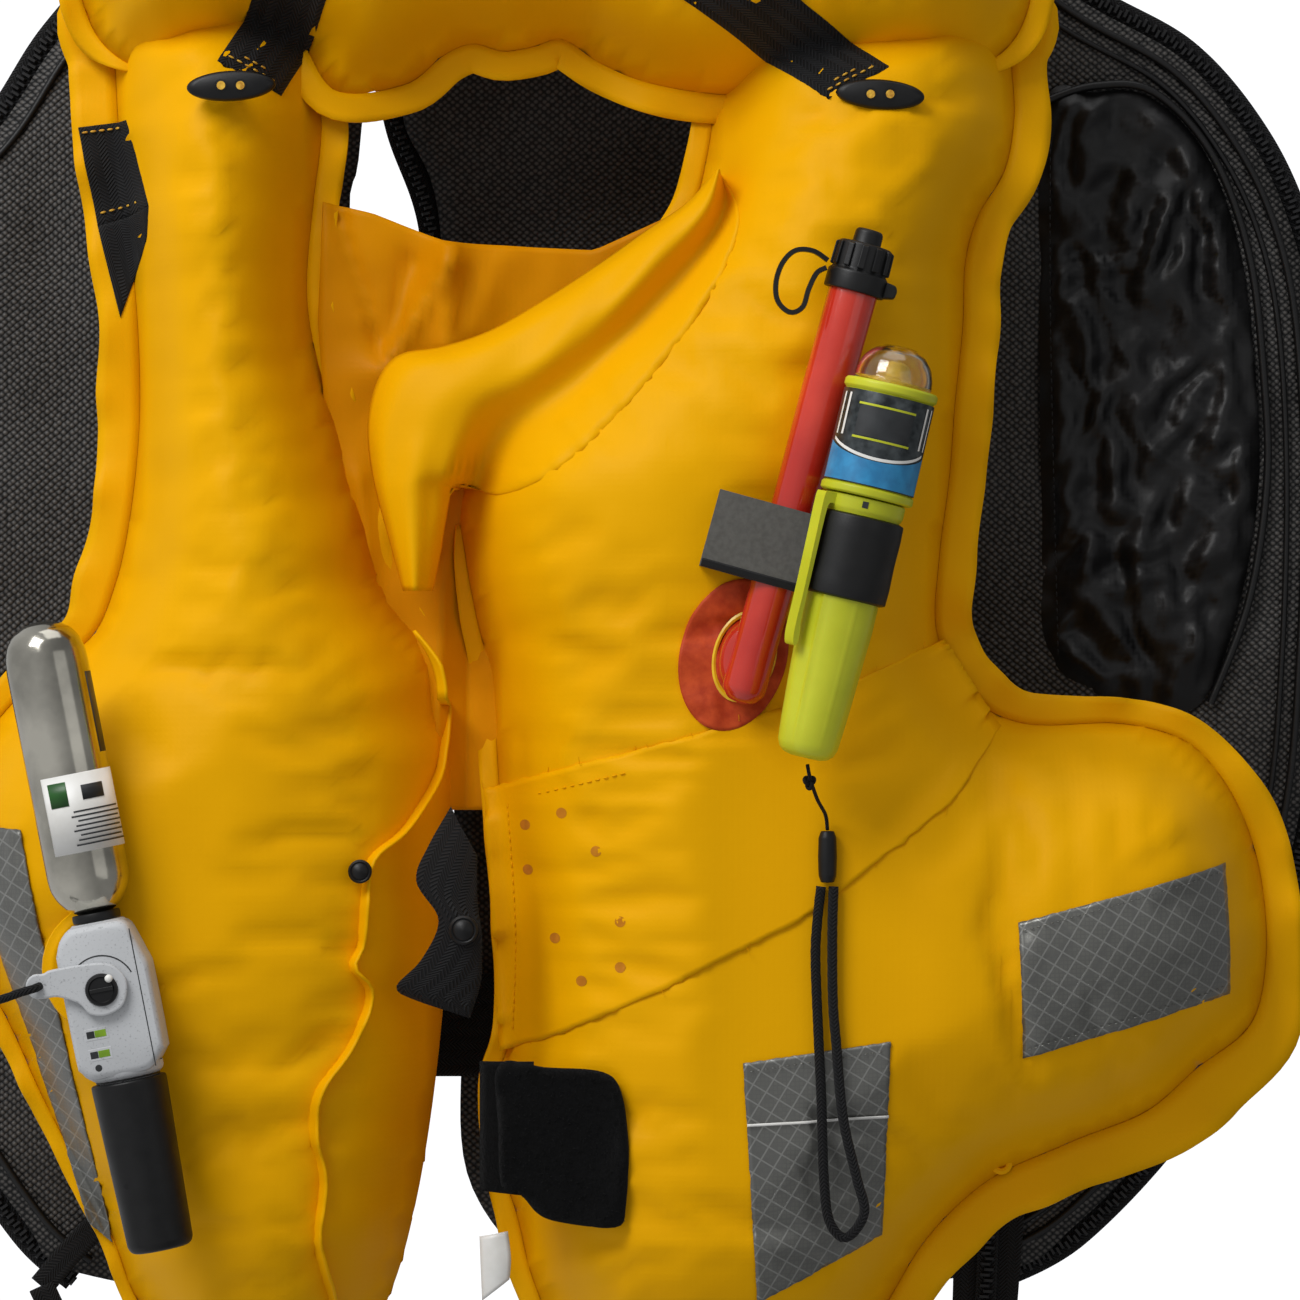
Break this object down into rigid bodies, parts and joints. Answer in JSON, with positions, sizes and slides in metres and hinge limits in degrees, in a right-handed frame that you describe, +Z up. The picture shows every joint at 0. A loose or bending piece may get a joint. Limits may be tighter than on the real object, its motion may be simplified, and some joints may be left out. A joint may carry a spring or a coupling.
{
  "type": "inflatable life jacket",
  "caption": "Inflated yellow bladder life jacket with folded-back black cover, gas inflator, oral tube, strobe light and wrist lanyard.",
  "frame": {"origin": "the back of the neck opening on the centre line, where the jacket hangs on the wearer's neck or on a hanger", "axes": "+Z up towards the collar, -Y towards the viewer of the front, +X to the right as seen from the front"},
  "size_m": [0.6057, 0.1995, 0.644],
  "materials": {
    "bladder_cloth": "yellow coated nylon, satin",
    "band_cloth": "yellow coated nylon tape, satin",
    "webbing": "black woven webbing",
    "spacer_mesh": "black spacer mesh cloth",
    "gloss_nylon": "black coated nylon, glossy",
    "hook_loop": "black hook-and-loop pile",
    "reflective_tape": "silver reflective tape",
    "label_cloth": "white woven label",
    "zip_plastic": "black moulded zip teeth",
    "black_plastic": "black moulded nylon, fine texture",
    "black_rubber": "black rubber, matt",
    "foam": "charcoal elastic foam",
    "red_plastic": "red vinyl tube, glossy",
    "red_base": "red vinyl welded patch",
    "lime_plastic": "lime moulded plastic",
    "sticker": "printed sticker",
    "clear_plastic": "clear polycarbonate",
    "led_yellow": "yellow lamp",
    "steel": "plated steel, bright",
    "grey_plastic": "light grey moulded nylon",
    "indicator_green": "green moulded indicator",
    "paper_label": "white paper label",
    "pin_steel": "steel pin"
  },
  "bodies": {
    "jacket": {"bladder_right": "bladder_cloth", "bladder_left": "bladder_cloth", "bladder_collar": "bladder_cloth", "bladder_bridge": "bladder_cloth", "lobe_band": "band_cloth", "reflector_right": "reflective_tape", "reflector_low": "reflective_tape", "reflector_left": "reflective_tape", "care_label": "label_cloth", "shoulder_tab": "webbing", "bow_webbing": "webbing", "bow_stud": "black_plastic", "flange_stud": "black_plastic", "eyelet": "band_cloth", "tab_base": "hook_loop", "hood_strap_left": "webbing", "hood_strap_right": "webbing", "cover_right": "spacer_mesh", "cover_left": "spacer_mesh", "cover_neck": "spacer_mesh", "pocket_right": "gloss_nylon", "zip_right": "zip_plastic", "zip_left": "zip_plastic", "zip_neck": "zip_plastic", "belt": "webbing", "strap_loop_left": "webbing", "strap_right_low": "webbing", "tube_base": "red_base", "oral_tube": "red_plastic", "valve_insert": "black_plastic", "holder_loop": "foam", "holder_band": "black_rubber", "inflator_body": "grey_plastic", "indicator": "indicator_green", "lever_hub": "black_plastic", "valve_patch": "band_cloth"},
    "lever": {"inflator_lever": "grey_plastic"},
    "pull_cord": {"pull_cord": "webbing", "pull_handle": "black_plastic"},
    "pin": {"piercing_pin": "pin_steel"},
    "gasket": {"cylinder_gasket": "black_rubber"},
    "cylinder": {"gas_cylinder": "steel", "cylinder_label": "paper_label"},
    "seal": {"capsule_seal": "black_rubber"},
    "capsule": {"capsule_cover": "black_plastic"},
    "cap": {"tube_cap": "black_rubber", "cap_strap": "black_rubber"},
    "plunger": {"valve_plunger": "black_plastic"},
    "light": {"strobe_body": "lime_plastic", "lanyard_string": "webbing", "lanyard_bead": "black_plastic", "lanyard_loop": "webbing"},
    "light_head": {"strobe_collar": "lime_plastic", "strobe_label": "sticker", "strobe_dome": "clear_plastic", "strobe_led": "led_yellow"},
    "toggle_left": {"toggle_left": "black_plastic"},
    "toggle_right": {"toggle_right": "black_plastic"},
    "flap": {"tab_flap": "hook_loop"}
  },
  "joints": [
    {"name": "lever_pull", "type": "hinge", "parent": "jacket", "child": "lever", "pos_m": [-0.15195, -0.184, -0.30917], "axis": [0, -1, 0], "range_deg": [0, 70]},
    {"name": "pull_cord_hang", "type": "hinge", "parent": "lever", "child": "pull_cord", "pos_m": [-0.17521, -0.1855, -0.30803], "axis": [0, -1, 0], "range_deg": [-70.5, 0]},
    {"name": "pin_travel", "type": "slide", "parent": "jacket", "child": "pin", "axis": [-0.1925, 0, 0.9813], "range_m": [0, 0.0061]},
    {"name": "cylinder_turn", "type": "hinge", "parent": "jacket", "child": "gasket", "pos_m": [-0.1313, -0.169, -0.4056], "axis": [-0.1925, 0, 0.9813], "range_deg": [0, 1440]},
    {"name": "cylinder_travel", "type": "slide", "parent": "gasket", "child": "cylinder", "axis": [-0.1925, 0, 0.9813], "range_m": [0, 0.00505]},
    {"name": "capsule_turn", "type": "hinge", "parent": "jacket", "child": "seal", "pos_m": [-0.1313, -0.169, -0.4056], "axis": [0.1925, 0, -0.9813], "range_deg": [0, 1080]},
    {"name": "capsule_travel", "type": "slide", "parent": "seal", "child": "capsule", "axis": [0.1925, 0, -0.9813], "range_m": [0, 0.00475]},
    {"name": "cap_pull", "type": "slide", "parent": "jacket", "child": "cap", "axis": [0.2656, 0, 0.9641], "range_m": [0, 0.03]},
    {"name": "valve_press", "type": "slide", "parent": "jacket", "child": "plunger", "axis": [-0.2656, 0, -0.9641], "range_m": [0, 0.0035], "stiffness_N_per_m": 250, "springref_m": -0.002},
    {"name": "light_slide", "type": "slide", "parent": "jacket", "child": "light", "axis": [0.2284, 0, 0.9736], "range_m": [0, 0.045]},
    {"name": "head_twist", "type": "hinge", "parent": "light", "child": "light_head", "pos_m": [0.1047, -0.1845, -0.2245], "axis": [0.2284, 0, 0.9736], "range_deg": [0, 90]},
    {"name": "toggle_left_tilt", "type": "hinge", "parent": "jacket", "child": "toggle_left", "pos_m": [-0.108, -0.13569, 0.025], "axis": [1, 0, 0], "range_deg": [-30, 30]},
    {"name": "toggle_right_tilt", "type": "hinge", "parent": "jacket", "child": "toggle_right", "pos_m": [0.134, -0.13293, 0.022], "axis": [1, 0, 0], "range_deg": [-30, 30]},
    {"name": "flap_open", "type": "hinge", "parent": "jacket", "child": "flap", "pos_m": [-0.008, -0.1476, -0.365], "axis": [0, 0, -1], "range_deg": [0, 150]}
  ],
  "couplings": [
    {"joint": "pull_cord_hang", "follows": "lever_pull", "ratio": -1},
    {"joint": "pin_travel", "follows": "lever_pull", "m_per_rad": 0.004911},
    {"joint": "cylinder_travel", "follows": "cylinder_turn", "m_per_rad": 0.0002},
    {"joint": "capsule_travel", "follows": "capsule_turn", "m_per_rad": 0.00025}
  ]
}
